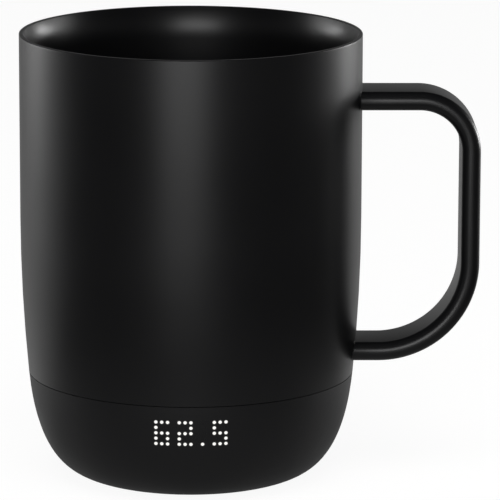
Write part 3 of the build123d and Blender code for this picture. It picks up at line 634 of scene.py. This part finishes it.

# %% [markdown]
# ## Floor
#
# The mug stands on a pale paper floor, which is white to the camera from every side. What the mug mirrors is
# another matter: a satin black wall stays black only where its surroundings are dim. So the reflections see
# a painted fan of glowing white behind the mug, which paints its bright edges as painted reflections, a
# weaker painted glow near the foot, and elsewhere the paper darkened to grey. About a seventh of the white is
# real paper under the lamps, and that part keeps the mug's soft shadow. The fan follows the place on the
# floor, so it holds from every side.

# %% Sizes and levels of the floor
FLOOR_SIZE = 6
# How bright the painted light of the fan is in reflections, by the bearing in degrees from straight behind,
# with plus to the right.
PAINTED_LIGHT_FAN = (
    (-96, 0.0),
    (-78, 0.42),
    (-58, 0.5),
    (-44, 0.36),
    (-28, 0.19),
    (0, 0.42),
    (22, 0.2),
    (40, 0.34),
    (58, 0.36),
    (82, 0.0),
)
# A painted glow near the foot, seen only in reflections: full out to GLOW_FULL metres from the middle and
# gone by GLOW_GONE.
GLOW_FULL, GLOW_GONE, FOOT_GLOW = 0.03, 0.2, 0.28
SELF_LIT, PAPER_WHITE = 0.85, 1.08

# %% Lay the floor
floor_mesh = bmesh.new()
bmesh.ops.create_grid(floor_mesh, x_segments=1, y_segments=1, size=FLOOR_SIZE / 2)
floor_data = bpy.data.meshes.new("floor")
floor_mesh.to_mesh(floor_data)
floor_mesh.free()
floor = bpy.data.objects.new("floor", floor_data)
bpy.context.scene.collection.objects.link(floor)

# %% Where the floor is white, and where reflections see painted light
paper = bpy.data.materials.new("pale_paper_floor")
paper.use_nodes = True
floor_data.materials.append(paper)
tree = paper.node_tree
tree.nodes.remove(tree.nodes["Principled BSDF"])
spot = add_node(paper, "ShaderNodeTexCoord").outputs["Object"]
axes = add_node(paper, "ShaderNodeSeparateXYZ", {0: spot})
bearing = add_node(
    paper, "ShaderNodeMath", {0: axes.outputs["X"], 1: axes.outputs["Y"]}, operation="ARCTAN2"
)
half_turn = add_node(
    paper, "ShaderNodeMapRange", {0: bearing.outputs[0], 1: -pi, 2: pi, 3: 0.0, 4: 1.0}
)
# The painted light of the fan, by the bearing round the mug.
painted_light_fan = add_node(paper, "ShaderNodeValToRGB", {0: half_turn.outputs[0]})
stops = painted_light_fan.color_ramp.elements
for degrees_round, level in PAINTED_LIGHT_FAN:
    stops.new(0.5 + degrees_round / 360).color = (level, level, level, 1)
stops.remove(stops[-1])
stops[0].color = (0, 0, 0, 1)
away = add_node(paper, "ShaderNodeVectorMath", {0: spot}, operation="LENGTH")
# The painted glow near the foot, by the distance from the middle of the floor.
painted_foot_glow = add_node(
    paper, "ShaderNodeMapRange",
    {0: away.outputs["Value"], 1: GLOW_FULL, 2: GLOW_GONE, 3: FOOT_GLOW, 4: 0.0},
    interpolation_type="SMOOTHSTEP",
)
pool = add_node(
    paper, "ShaderNodeMath", {0: painted_light_fan.outputs[0], 1: painted_foot_glow.outputs[0]}, operation="MAXIMUM"
)
# %% Who sees it white: the camera everywhere, and reflections inside the painted light
light_path = add_node(paper, "ShaderNodeLightPath")
mirrored = add_node(
    paper, "ShaderNodeMath",
    {0: light_path.outputs["Is Glossy Ray"], 1: light_path.outputs["Is Transmission Ray"]},
    operation="MAXIMUM",
)
in_pool = add_node(
    paper, "ShaderNodeMath", {0: mirrored.outputs[0], 1: pool.outputs[0]}, operation="MULTIPLY"
)
shown = add_node(
    paper, "ShaderNodeMath", {0: in_pool.outputs[0], 1: light_path.outputs["Is Camera Ray"]},
    operation="MAXIMUM",
)
part_white = add_node(paper, "ShaderNodeMath", {0: shown.outputs[0], 1: SELF_LIT}, operation="MULTIPLY")
# The camera sees the paper near white, and so do reflections inside the painted light. The bounced light and
# all other reflections see it darkened to grey.
paper_tone = add_node(
    paper, "ShaderNodeMix", {0: shown.outputs[0], 6: linear("50504f"), 7: linear("f4f4f2")}, data_type="RGBA"
)
dull = add_node(paper, "ShaderNodeBsdfDiffuse", {"Color": paper_tone.outputs[2]})
white = add_node(paper, "ShaderNodeEmission", {"Color": (1, 1, 1, 1), "Strength": PAPER_WHITE})
mixed = add_node(
    paper, "ShaderNodeMixShader", {0: part_white.outputs[0], 1: dull.outputs[0], 2: white.outputs[0]}
)
tree.links.new(mixed.outputs[0], tree.nodes["Material Output"].inputs["Surface"])
print("floor", FLOOR_SIZE, "m square")

# %% [markdown]
# ## Light
#
# A round black wall shows each lamp as an upright band, so the lamps are chosen by the bands that they
# draw. A small soft box in front gives the middle band and the light on the far wall inside the mouth. Two
# strips from behind draw the edges, and two dim cards at the sides widen them and light the mouth's flanks.
# A lamp overhead lights the paper, so that the shadow is soft. The photograph shows no reflection of one on
# the handle, so reflections don't see it.

# %% Light
def strip_lamp(name, azimuth, elevation, distance, width, height, watts):
    """A rectangular lamp that faces the mug: azimuth 0 is at the camera, and turns towards +X."""
    turn, rise = radians(azimuth), radians(elevation)
    data = bpy.data.lights.new(name, "AREA")
    data.shape, data.size, data.size_y, data.energy = "RECTANGLE", width, height, watts
    lamp = bpy.data.objects.new(name, data)
    away = Vector((sin(turn) * cos(rise), -cos(turn) * cos(rise), sin(rise)))
    lamp.location = Vector((0, 0, 0.06)) + distance * away
    lamp.rotation_euler = away.to_track_quat("Z", "Y").to_euler()
    lamp.visible_camera = False
    bpy.context.scene.collection.objects.link(lamp)
    return lamp


# %% Place the lamps
lamps = [
    strip_lamp("front_soft_box", -4.5, 8, 0.92, 0.46, 0.37, 4.0),
    strip_lamp("left_rear_strip", -121, 3, 1.6, 0.52, 0.3, 8.6),
    strip_lamp("right_rear_strip", 126, 3, 1.6, 0.52, 0.3, 12.0),
    strip_lamp("left_card", -108, 12, 1.5, 0.5, 0.6, 2.9),
    strip_lamp("right_card", 108, 12, 1.5, 0.5, 0.6, 2.9),
    strip_lamp("overhead_fill", 0, 60, 1.2, 1.0, 1.0, 9.0),
]
lamps[-1].visible_glossy = False
print(len(lamps), "lamps")

# %% [markdown]
# ## The room
#
# The camera sees a white room. To the mug the room is dim: grey low down, lighter behind than in front, and
# black overhead, as in a studio with dark flags above the set. A plain grey world would be simpler, but it
# would veil the whole wall evenly and hide its bands.

# %% Room
ROOM_LOW, ROOM_HIGH = 0.06, 0.42
ROOM_FRONT, ROOM_BACK = 0.45, 1.0
world = bpy.data.worlds.new("dim_room_dark_overhead")
bpy.context.scene.world = world
world.use_nodes = True
sky = add_node(world, "ShaderNodeTexCoord").outputs["Generated"]
aim = add_node(world, "ShaderNodeSeparateXYZ", {0: sky})
low_down = add_node(
    world, "ShaderNodeMapRange", {0: aim.outputs["Z"], 1: ROOM_LOW, 2: ROOM_HIGH, 3: 1.0, 4: 0.0},
    interpolation_type="SMOOTHSTEP",
)
behind = add_node(
    world, "ShaderNodeMapRange", {0: aim.outputs["Y"], 1: -1.0, 2: 1.0, 3: ROOM_FRONT, 4: ROOM_BACK}
)
lit_wall = add_node(
    world, "ShaderNodeMath", {0: low_down.outputs[0], 1: behind.outputs[0]}, operation="MULTIPLY"
)
walls = add_node(
    world, "ShaderNodeMix", {0: lit_wall.outputs[0], 6: (0, 0, 0, 1), 7: linear("a8a8a8")}, data_type="RGBA"
)
seen = add_node(world, "ShaderNodeLightPath").outputs["Is Camera Ray"]
around = add_node(
    world, "ShaderNodeMix", {0: seen, 6: walls.outputs[2], 7: (1, 1, 1, 1)}, data_type="RGBA"
)
backdrop = world.node_tree.nodes["Background"]
backdrop.inputs["Strength"].default_value = 1.0
world.node_tree.links.new(around.outputs[2], backdrop.inputs["Color"])
print("room", world.name)

# %% [markdown]
# ## Camera
#
# The photograph was taken with a long lens from a little above the rim. A long lens keeps the mug's sides
# nearly parallel, and the height opens the mouth into a flat ellipse. The mug stands left of the middle, so
# the camera turns a little about its own upright axis. A turn about the world's would make the mug lean.

# %% Camera
FOCAL_PIXELS, FRAME_PIXELS, SENSOR = 4222.1, 500, 36
LOOK_DOWN, TURN_ASIDE = 12.204, -0.8015
pitch = Matrix.Rotation(radians(90 - LOOK_DOWN), 3, "X")
aside_turn = Matrix.Rotation(radians(TURN_ASIDE), 3, "Y")
camera_data = bpy.data.cameras.new("camera")
camera_data.sensor_width = SENSOR
camera_data.lens = FOCAL_PIXELS / FRAME_PIXELS * SENSOR
camera_data.clip_start, camera_data.clip_end = 0.05, 20
camera = bpy.data.objects.new("camera", camera_data)
camera.location = (0, -1.0918, 0.2961)
camera.rotation_euler = (pitch @ aside_turn).to_euler()
bpy.context.scene.collection.objects.link(camera)
bpy.context.scene.camera = camera
bpy.context.scene.view_settings.view_transform = "Standard"
print("lens", round(camera_data.lens), "mm at", round(hypot(*camera.location), 2), "m")
